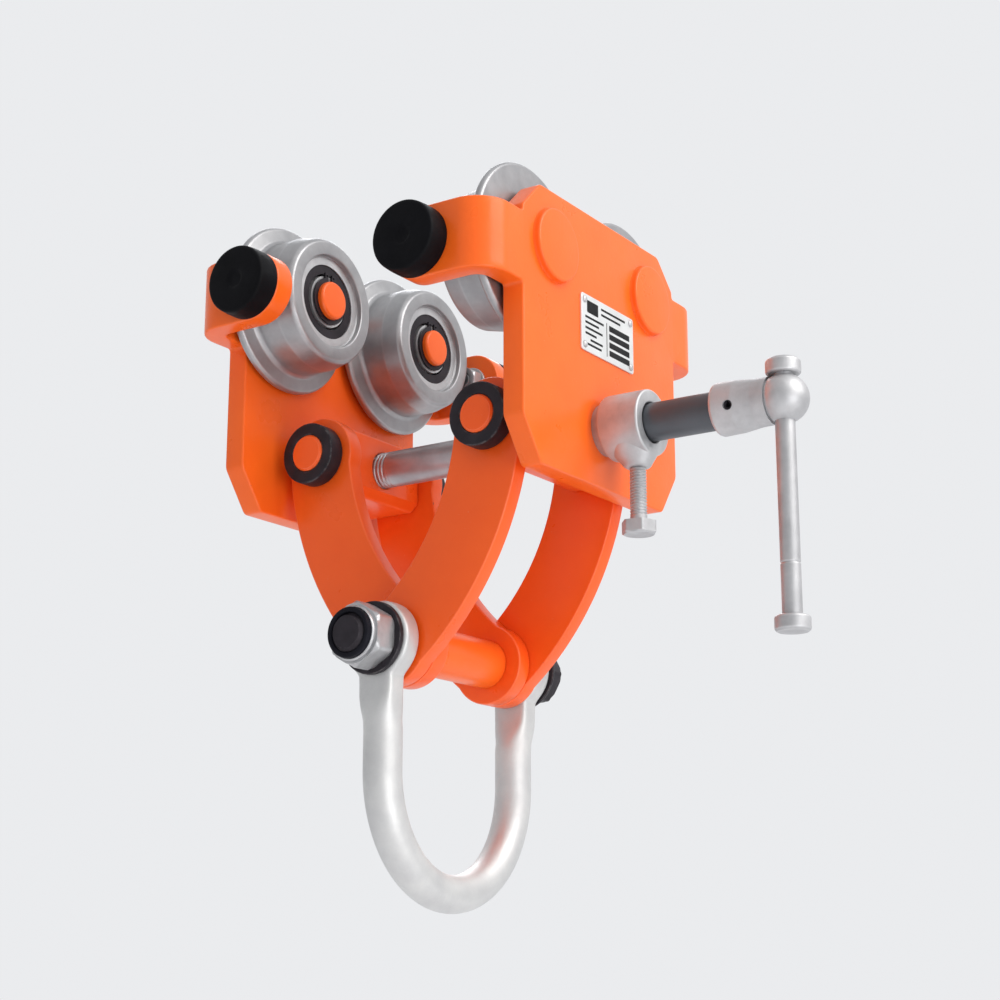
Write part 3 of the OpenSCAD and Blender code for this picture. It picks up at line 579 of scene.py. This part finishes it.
for x_sign, bore in ((1, ()), (-1, ((0.0, SPIN_Z, 10.5),))):
    side = side_of(x_sign)
    body = f"{side}_side"
    mirrored = x_sign < 0
    plate = slab(outline, 0.0, PLATE_T, 0.9, bend_plate, bore, bend_points)
    piece(f"{side}_bent_plate", [plate], orange, body, [f"{side}_plate"], mirrored)

    # spindle block, its journals and the weld to the plate
    half = BLOCK_HALF[side]
    ring_at = half + GAP + ARM_T + GAP
    box, _ = soften([[-half, -BLOCK_UP], [half, -BLOCK_UP], [half, BLOCK_UP], [-half, BLOCK_UP]],
                    1.6, 5, closed=True)
    crease_u, crease_v = np.meshgrid(np.linspace(2 - half, half - 2, 19),
                                     [SLOPE_FROM, SLOPE_FROM - 2])
    crease = np.stack([crease_u.ravel(), crease_v.ravel()], -1)
    parts = [slab(divide(box, 2.0), BLOCK_FACE, PLATE_X + 0.4, 0.9, sloped_block,
                  ((0.0, 0.0, BORE_R),), crease)]
    journal = ring_at + RING_T - half + 1
    stub = [[0, 0], [0, SHAFT_R], [journal, SHAFT_R], [journal + 0.9, 7.2], [journal + 0.9, 0]]
    for end in (-1, 1):
        parts.append(turned(stub, (PIVOT_X, end * (half - 1), SPIN_Z), (0, end, 0), 64, 0.25))
    wide, tall = half + 1, BLOCK_UP + 1
    seam, _ = soften([[-wide, SPIN_Z - tall], [wide, SPIN_Z - tall], [wide, SPIN_Z + tall],
                      [-wide, SPIN_Z + tall]], 3.0, 6, closed=True)
    parts.append(weld_bead(seam, 1.7, 1.6))
    piece(f"{side}_spindle_block", parts, orange_shaded, body, [f"{side}_trunnion"], mirrored)

    # retaining rings with a socket screw in the rim
    ring = ring_line(ring_at, ring_at + RING_T, BORE_R, RING_R)
    cup = [[12.6, 0], [12.6, 1.1], [13.75, 1.2], [13.75, 2.2], [11.5, 2.2], [11.5, 0]]
    rings = [turned(ring, (PIVOT_X, 0, SPIN_Z), (0, end, 0), 96, 0.8, loop=True) for end in (-1, 1)]
    screws = [turned(cup, (PIVOT_X, end * (ring_at + RING_T / 2), SPIN_Z), UP, 24, 0.12)
              for end in (-1, 1)]
    piece(f"{side}_retaining_rings", rings, oxide, body, [f"{side}_retainers"], mirrored)
    piece(f"{side}_ring_screws", screws, screw_steel, body, flip_x=mirrored)

    # wheels, axles and rubber buffers at both ends of the plate
    wheel = [[WHEEL_IN, BRG_R + 0.9], [WHEEL_IN, TREAD_R - 3.2], [WHEEL_IN + 1.5, TREAD_R - 1.7],
             [WHEEL_IN + 9, TREAD_R], [WHEEL_OUT - 6.5, TREAD_R], [WHEEL_OUT - 5, TREAD_R + 1.5],
             [WHEEL_OUT - 4, RIM_R - 1], [WHEEL_OUT - 3, RIM_R], [WHEEL_OUT - 1, RIM_R],
             [WHEEL_OUT, RIM_R - 1], [WHEEL_OUT, 22], [WHEEL_OUT - 3, 20], [WHEEL_OUT - 3, 16],
             [WHEEL_OUT - 1.2, 15.4], [WHEEL_OUT - 1.2, 13], [BRG_OUT, 13], [BRG_OUT, BRG_R],
             [BRG_IN - 0.2, BRG_R], [BRG_IN - 0.2, BRG_R + 0.9]]
    pin = [[WHEEL_IN - 1.5, 0], [WHEEL_IN - 1.5, 7.7], [WHEEL_IN - 0.7, AXLE_R],
           [BRG_IN - 1.2, AXLE_R], [BRG_IN - 1.2, 8], [BRG_IN - 0.1, 8], [BRG_IN - 0.1, AXLE_R],
           [BRG_OUT, AXLE_R], [BRG_OUT, 12], [PLATE_X, 12], [PLATE_X, 10], [OUT_X - 0.2, 10],
           [OUT_X - 0.2, 15.9], [OUT_X + 0.7, 15.5], [OUT_X + 3, 15.3], [OUT_X + 3, 0]]
    pad = [[0, 0], [0, 15], [1.2, 15], [5.2, 15], [10.5, 14.6], [10.5, 4.2], [9.7, 3.0], [9.7, 0]]
    stud = [[-18, 0], [-18, 3.3], [-17.2, 4], [0.5, 4], [0.5, 0]]
    stud_hole = 4.05
    stud_nut = [[-8, stud_hole], [-8, 6.4], [-7, 8], [-1.6, 8], [-1.6, stud_hole]]
    stud_washer = ring_line(-1.5, 0, stud_hole, 8)
    nuts = []
    for end, word in ((-1, "front"), (1, "rear")):
        centre, outward = (0, end * AXLE_Y, AXLE_Z), (0, end, 0)
        cut = lathe_cut(f"{side} {word} wheel steel", (0.42, 0.42, 0.43), (0.34, 0.34, 0.35),
                        centre, 0.0009)
        piece(f"{side}_{word}_flanged_wheel", [turned(wheel, centre, ACROSS, 128, 0.7, loop=True)],
              cut, f"{side}_{word}_wheel", [f"{side}_wheel_{word}"], mirrored)
        piece(f"{side}_{word}_axle_pin", [turned(pin, centre, ACROSS, 96, 1.1)], orange, body,
              [f"{side}_axle_{word}"], mirrored)
        strip_face = (BUF_X, end * ARM_FACE, BUF_Z)
        piece(f"{side}_{word}_rubber_buffer", [turned(pad, strip_face, outward, 96, 1.5)], rubber,
              body, [f"{side}_buffer_{word}"], mirrored)
        piece(f"{side}_{word}_buffer_stud", [turned(stud, strip_face, outward, 48, 0.3)],
              screw_steel, body, flip_x=mirrored)
        strip_back = (BUF_X, end * (ARM_FACE - PLATE_T), BUF_Z)
        nuts.append(turned(stud_nut, strip_back, outward, 72, 0.1, loop=True, flats=13))
        nuts.append(turned(stud_washer, strip_back, outward, 64, 0.3, loop=True))
    piece(f"{side}_stud_nuts", nuts, zinc, body, [f"{side}_buffer_nuts"], mirrored)

# ---------- load arms ----------


def arc(middle, radius, start, end, count):
    """Points on a circle about middle, from angle start to angle end."""
    t = np.linspace(start, end, count)
    return middle + radius * np.stack([np.cos(t), np.sin(t)], -1)


def angle_of(point, middle):
    return np.arctan2(*(point - middle)[::-1])


def arm_outline():
    """Curved flat bar: arcs ARM_HALF outside and inside the middle line, about one centre, join
    two round eyes, ARM_LONG apart; each eye is entered where its circle meets the arc, at the
    angle between the sides ARC_R and radius of a triangle whose third side is EYE_R."""
    a, b = np.zeros(2), np.array([PIVOT_X, SPIN_Z - PIN_Z])
    lean = np.arcsin(PIVOT_X / ARM_LONG)
    to_centre = np.sqrt(ARC_R ** 2 - (ARM_LONG / 2) ** 2)
    centre = (a + b) / 2 + to_centre * np.array([-np.cos(lean), np.sin(lean)])
    outside, inside = ARC_R + ARM_HALF, ARC_R - ARM_HALF
    gap_out, gap_in = (np.arccos((ARC_R ** 2 + radius ** 2 - EYE_R ** 2) / (2 * ARC_R * radius))
                       for radius in (outside, inside))
    at_a, at_b = angle_of(a, centre), angle_of(b, centre)
    outer = arc(centre, outside, at_a + gap_out, at_b - gap_out, 40)
    inner = arc(centre, inside, at_b - gap_in, at_a + gap_in, 36)

    def eye(middle, first, last):
        start, end = angle_of(first, middle), angle_of(last, middle)
        return arc(middle, EYE_R, start, end + (TAU if end < start else 0), 42)[1:-1]

    return np.vstack([outer, eye(b, outer[-1], inner[0]), inner, eye(a, inner[-1], outer[0])])


def stand_on_bolt(u, v, w):
    """Puts a bar's flat outline upright, its first eye on the load bolt, w along the bolt."""
    return np.stack([u, w, v + PIN_Z], -1)


arm_line = arm_outline()
eyes = ((0.0, 0.0, BORE_R), (PIVOT_X, SPIN_Z - PIN_Z, BORE_R))
for x_sign in (1, -1):
    side = side_of(x_sign)
    near = BLOCK_HALF[side] + GAP
    for word, low in (("front", -near - ARM_T), ("rear", near)):
        bar = slab(arm_line, low, low + ARM_T, 0.8, stand_on_bolt, eyes)
        piece(f"{side}_{word}_load_arm", [bar], orange_shaded, f"{side}_arms",
              [f"{side}_arm_{word}"], x_sign < 0)

# ---------- load bolt, nut and washer ----------


def thread_wave(pitch, depth, hand, start, end, starts=1):
    """Screw thread: the radius is cut by depth times a trapezoid wave of s / pitch less hand
    times starts times t / turn, faded in over one pitch at start and end."""
    def wave(s, t, r):
        p = (s / pitch - hand * starts * t / TAU) % 1.0
        cut = np.clip(np.abs(p - 0.5) * -6.0 + 2.0, 0, 1)
        fade = ease(s, start, start + pitch) * (1 - ease(s, end - pitch, end))
        return r - depth * cut * fade * (r > 0.5)
    return wave


def rod_profile(start, end, radius, step, nose=1.2):
    """Rod with chamfered ends and a row of points every step, so that a thread can be cut in it."""
    rows = np.arange(start + nose, end - nose, step)
    body = np.column_stack([rows, np.full(len(rows), radius)])
    return np.vstack([[[start, 0], [start, radius - nose]], body, [[end, radius - nose], [end, 0]]])


def on_bolt(profile, n, radius, **form):
    """A turned body on the load bolt's axis."""
    return turned(profile, BOLT_MID, ALONG, n, radius, **form)


nut_face, nut_end = -57.0, -68.0
shank = on_bolt(rod_profile(-73, 56, 7.95, 0.25, 1.3), 48, 0.05,
                wave=thread_wave(2.0, 1.1, 1, -73.5, -52))
flange = on_bolt([[EAR_OUT, 0], [EAR_OUT, 17], [EAR_OUT + 1.4, 17], [EAR_OUT + 3.5, 12.8],
                  [EAR_OUT + 3.5, 0]], 96, 0.6)
head = on_bolt([[EAR_OUT + 2, 0], [EAR_OUT + 2, 18], [66.8, 15.2], [68.5, 12.2], [68.5, 10.4],
                [67.9, 9.8], [67.9, 0]], 144, 0.25, flats=24, turn=TAU / 12)
piece("load_bolt_flanged", [shank, flange, head], oxide, "load_pin", ["load_bolt"])
nut = on_bolt([[nut_end, BORE_R], [nut_end, 12.2], [-66.4, 14.6], [-58.6, 14.6], [nut_face, 12.8],
               [nut_face, BORE_R]], 144, 0.2, loop=True, flats=24)
crown = on_bolt([[-69.6, 10.2], [-69.9, 10.7], [-69.2, 11.2], [-67, 11.2], [-67, 10.2]], 96, 0.4,
                loop=True)
piece("load_nut_hexagon", [nut, crown], zinc, "load_pin", ["load_nut"])
insert = on_bolt(ring_line(-72.2, -67.6, SHAFT_R, 10.4), 96, 1.2, loop=True)
piece("nut_lock_insert", [insert], nylon, "load_pin", ["nut_insert"])
washer = on_bolt(ring_line(nut_face, -EAR_OUT, SHAFT_R, 15), 96, 0.5, loop=True)
piece("load_bolt_washer", [washer], oxide, "load_pin", ["load_washer"])
tube_end = BLOCK_HALF["left"]
tube = on_bolt(ring_line(-tube_end, tube_end, SHAFT_R, 10.5), 64, 0.4, loop=True)
piece("distance_tube", [tube], orange, "load_pin", ["spacer_tube"])

# ---------- shackle ----------


def shackle_surface():
    """One forged bar: at height z an ear's half width is sqrt(EAR_R^2 - z^2) and its half
    thickness 5.25 mm; the width is joined to the stem's 8.4 mm by the sixth root of the sum of
    sixth powers, and the section goes from a soft-cornered bar to a circle of 8 mm radius, which
    follows the straight legs and a half circle of radius BOW_R."""
    bow_z, bar_r = -52.2, 8.0
    top = EAR_R * np.cos(np.linspace(0, np.pi / 2, 26))
    z = np.concatenate([top, np.linspace(-0.8, -44, 56), np.linspace(-45, bow_z, 8)])
    circle = np.sqrt(np.maximum(EAR_R ** 2 - z ** 2, 0))
    stem = (8.4 - 0.4 * ease(-z, 20, 34)) * ease(-z, -2, 7)
    a = (circle ** 6 + stem ** 6) ** (1 / 6)
    crown = np.sqrt(np.maximum(1 - np.clip(z / EAR_R, 0, 1) ** 12, 0))
    b = 5.25 * crown + 2.75 * ease(-z, 18, 36)
    y = 49.25 - 1.65 * ease(-z, 22, 38)
    power = 6.5 - 4.5 * ease(-z, 14, 34)
    turn = np.linspace(0, np.pi, 97)[1:-1]
    bow = np.column_stack([0 * turn, BOW_R * np.cos(turn), bow_z - BOW_R * np.sin(turn)])
    out = np.column_stack([0 * turn, np.cos(turn), -np.sin(turn)])
    leg = np.column_stack([0 * z, y, z])
    back = leg[::-1] * [1, -1, 1]
    centres = np.vstack([leg, bow, back]) + BOLT_MID
    flat = np.tile([0, 1.0, 0], (len(z), 1))
    beside = np.vstack([flat, out, -flat])
    across = np.tile([1.0, 0, 0], (len(centres), 1))
    bow_values = ((a, bar_r), (b, bar_r), (power, 2.0))
    halves = [np.concatenate([h, np.full(len(turn), on_bow), h[::-1]]) for h, on_bow in bow_values]
    return swept(centres, across, beside, *halves, n=64)


piece("forged_shackle", [shackle_surface()], zinc_forged, "shackle_body", ["shackle"])

# ---------- lock collar and bolt ----------

collar = [[PLATE_X, 8.5], [PLATE_X, 11], [81.5, 11], [81.5, 14], [100.5, 14], [100.5, 8.5]]


def drop_boss():
    """Boss for the lock bolt: going down, its section shrinks by smooth steps from 18.8 by
    20.7 mm to a round of about 10 mm, later along the spindle than across it, while its middle
    moves to the bolt, so that collar and boss make one drop; the last rows round its lower
    edge."""
    start_x, rows = 91, 22
    down = np.concatenate([np.linspace(9.4, 17.4, rows), [17.9, 18.3, 18.5, 18.5]])
    fall, later = ease(down, 5, 20), ease(down, 11, 20)
    tip = np.array([1.0] * rows + [0.97, 0.9, 0.8, 0.0])
    centres = np.column_stack([start_x + (LOCK_X - start_x) * fall, 0 * down, SPIN_Z - down])
    across, beside = (np.tile(way, (len(down), 1)) for way in ([1.0, 0, 0], [0, 1.0, 0]))
    half_along, half_beside = (9.4 - 4.6 * later) * tip, (11.8 - 7.0 * fall) * tip
    return swept(centres, across, beside, half_along, half_beside, 2.3, n=64)


collar_body = turned(collar, SPINDLE_MID, ACROSS, 128, 1.0, loop=True)
piece("lock_collar_turned", [collar_body, drop_boss()], zinc_turned, "right_side", ["lock_collar"])
lock_from, downward = (LOCK_X, 0, SPIN_Z), (0, 0, -1)
lock_shank = turned(rod_profile(9, 41.5, 3.5, 0.12, 0.4), lock_from, downward, 40, 0.02,
                    wave=thread_wave(1.25, 0.4, 1, 8, 39))
lock_head = turned([[40.9, 0], [40.9, 8], [45.6, 8], [46.5, 6.1], [46.5, 0]], lock_from, downward,
                   96, 0.2, flats=13, turn=0.35)
piece("lock_bolt_hexagon", [lock_shank, lock_head], zinc, "lock_screw", ["lock_bolt"])

# ---------- spindle and tommy bar ----------


def spindle_surface():
    """Rod of SHAFT_R with a left-hand thread on one half and a right-hand thread on the other,
    two starts of 2 mm pitch that make a 4 mm lead, plain in the middle, in the collar and at the
    steps."""
    row_step, pitch, depth = 0.25, 2.0, 0.45
    rows = np.concatenate([np.arange(-98.4, -30, row_step), [-22, 22], np.arange(30, 77, row_step),
                           [78, 131.6]])
    body = np.column_stack([rows, np.full(len(rows), SHAFT_R)])
    tail = [[-106.5, 0], [-106.5, 5.2], [-105.7, 6], [-104.3, 6], [-104.3, 5.6], [-103.1, 5.6],
            [-103.1, 6], [-99.6, 6], [-99.6, 7.2]]
    left = thread_wave(pitch, depth, -1, -97, -31, 2)
    right = thread_wave(pitch, depth, 1, 31, 76, 2)
    return turned(np.vstack([tail, body, [[131.8, 6], [131.8, 0]]]), SPINDLE_MID, ACROSS, 64, 0.04,
                  wave=lambda s, t, r: left(s, t, right(s, t, r)))


piece("threaded_spindle", [spindle_surface()], spindle_steel, "spindle_unit", ["spindle"])
bar_top, bar_r = 9.9 + CAP_H, 4.0
bar_bottom = bar_top - BAR_LONG
stop_groove = bar_bottom + 27
bar = turned([[bar_bottom + 2, 0], [bar_bottom + 2, bar_r], [stop_groove - 0.5, bar_r],
              [stop_groove, 3.6], [stop_groove + 0.5, bar_r], [bar_top - 2, bar_r],
              [bar_top - 2, 0]], (BALL_X, 0, SPIN_Z), UP, 64, 0.3)
piece("tommy_bar_drawn", [bar], zinc_drawn, "tommy_unit", ["tommy_bar"])
cap = [[0, 0], [0, 3.8], [0, 6.4], [0.7, 7.1], [CAP_H - 1.1, 7.1], [CAP_H, 6.1], [CAP_H, 0]]
for word, height, up in (("top", bar_top - CAP_H, 1), ("bottom", bar_bottom + CAP_H, -1)):
    end_cap = turned(cap, (BALL_X, 0, SPIN_Z + height), (0, 0, up), 96, 0.5)
    piece(f"tommy_end_{word}", [end_cap], zinc_turned, "tommy_unit", [f"tommy_cap_{word}"])

# ---------- nameplate: plain bars stand for its print ----------

NAME_Y, NAME_Z = 2.5, 4.0
PRINT_LOW, PRINT_HIGH = 0.75, 0.84


def card(width, height, y, z, low, high, corner, edge):
    """Thin rounded rectangle on the outside of the plate, low to high above it, its middle y and
    z from the nameplate's."""
    w, h = width / 2, height / 2
    line, _ = soften([[-w, -h], [w, -h], [w, h], [-w, h]], corner, 6, closed=True)

    def place(u, v, t):
        return np.stack([OUT_X + t, u + (NAME_Y + y), v + (NAME_Z + z)], -1)

    return slab(line, low, high, edge, place)


piece("maker_plate", [card(43, 25, 0, 0, -0.02, 0.8, 1.5, 0.15)], label_metal, "right_side",
      ["nameplate"])
marks = [card(9, 5.4, -12.5, 7.4, PRINT_LOW, 0.86, 0.6, 0.03)]
# short bars: height, start after the left margin, length
for z, start, width in ((9.2, 13, 20), (6.8, 13, 16), (2.6, 0, 15), (0.2, 0, 11), (-2.2, 0, 14),
                        (-4.6, 0, 9), (-7.0, 4, 10), (-9.2, 0, 13)):
    marks.append(card(width, 1.0, width / 2 + start - 18.5, z, PRINT_LOW, PRINT_HIGH, 0.2, 0.02))
marks += [card(17, 2.6, 9.5, z, PRINT_LOW, PRINT_HIGH, 0.3, 0.02) for z in (2.6, -1.1, -4.8, -8.5)]
marks.append(card(0.5, 15, -1.0, -3.0, PRINT_LOW, PRINT_HIGH, 0.1, 0.02))
piece("maker_plate_print", marks, ink, "right_side")
dome = [[-0.2, 0], [-0.2, 0.9], [0.75, 0.9], [0.75, 1.6], [1.3, 1.4], [1.65, 0.8], [1.75, 0]]
domes = [turned(dome, (OUT_X, NAME_Y + y, NAME_Z + z), ACROSS, 24, 0.2)
         for y in (-18.9, 18.9) for z in (-9.9, 9.9)]
piece("maker_plate_rivets", domes, zinc_turned, "right_side", ["nameplate_rivets"])

# ---------- CAD nodes that stay, with their finishes ----------

kept = {"stop_washer": zinc_turned, "spindle_clip": oxide, "handle_hub": zinc_turned, "hub_pin": oxide}
for side in ("right", "left"):
    kept[f"{side}_axle_clips"] = oxide
    kept[f"{side}_inner_rings"] = bearing_steel
    for word in ("front", "rear"):
        kept[f"{side}_ring_{word}"] = bearing_steel
        kept[f"{side}_seal_{word}"] = oxide
for name, surface in kept.items():
    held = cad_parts[name]
    held.data.materials.clear()
    held.data.materials.append(surface)

# ---------- floor, light and camera ----------


def matt_paper(name, colour):
    """Backdrop paper: one pale tone that drifts by 3 percent over about a metre."""
    f = Finish(name, 0.0, Roughness=0.8)
    drift = f.spread(f.noise(1.3, 3), 0.3, 0.7, 0.0, 1.0)
    return f.join(f.mix(drift, colour, scaled(colour, 0.97)))


FLOOR_Z, REACH = -0.62, 9
floor_mesh = bpy.data.meshes.new("floor")
floor_mesh.from_pydata([(-REACH, -REACH, FLOOR_Z), (REACH, -REACH, FLOOR_Z), (REACH, REACH, FLOOR_Z),
                        (-REACH, REACH, FLOOR_Z)], [], [(0, 1, 2, 3)])
floor = bpy.data.objects.new("floor", floor_mesh)
bpy.context.scene.collection.objects.link(floor)
floor_mesh.materials.append(matt_paper("pale paper", (0.86, 0.86, 0.87)))

# Incoming runs back along each ray, so the room is darkest in front of the clamp, towards -Y
world = bpy.data.worlds.new("pale room")
world.use_nodes = True
room = world.node_tree
sky = room.nodes["Background"]
sky.inputs["Color"].default_value = (0.92, 0.93, 0.95, 1)
ray = room.nodes.new("ShaderNodeNewGeometry")
toward = room.nodes.new("ShaderNodeVectorMath")
toward.operation = "DOT_PRODUCT"
toward.inputs[1].default_value = (0.30, 0.95, -0.10)
shade = room.nodes.new("ShaderNodeMapRange")
for socket, value in (("From Min", -0.2), ("From Max", 0.9), ("To Min", 0.90), ("To Max", 0.58)):
    shade.inputs[socket].default_value = value
room.links.new(ray.outputs["Incoming"], toward.inputs[0])
room.links.new(toward.outputs["Value"], shade.inputs["Value"])
room.links.new(shade.outputs[0], sky.inputs["Strength"])
bpy.context.scene.world = world
bpy.context.scene.view_settings.view_transform = "Standard"


def area_light(name, at, aim, size, power, tint=(1, 1, 1)):
    """Square soft box that faces its aim point."""
    lamp = bpy.data.lights.new(name, "AREA")
    lamp.size, lamp.energy, lamp.color = size, power, tint
    obj = bpy.data.objects.new(name, lamp)
    obj.location = at
    obj.rotation_euler = (Vector(aim) - Vector(at)).to_track_quat("-Z", "Y").to_euler()
    bpy.context.scene.collection.objects.link(obj)


middle = (0.0, 0.0, -0.06)
area_light("key", (1.25, 0.1, 0.95), middle, 1.2, 17, (1.0, 0.98, 0.95))
area_light("low fill", (1.2, -0.45, -0.48), middle, 0.8, 6)
area_light("back", (-0.9, 1.1, 0.9), middle, 0.8, 8, (0.95, 0.97, 1.0))

camera = bpy.data.cameras.new("camera")
camera.sensor_width = 36
camera.lens = 67.43
camera.clip_end = 40
eye = bpy.data.objects.new("camera", camera)
azimuth, elevation = np.radians(33.77), np.radians(-14.169)
level = np.cos(elevation)
away = Vector((np.sin(azimuth) * level, -np.cos(azimuth) * level, np.sin(elevation)))
eye.location = (0.45884, -0.64901, -0.25890)
eye.rotation_euler = away.to_track_quat("Z", "Y").to_euler()
bpy.context.scene.collection.objects.link(eye)
bpy.context.scene.camera = eye
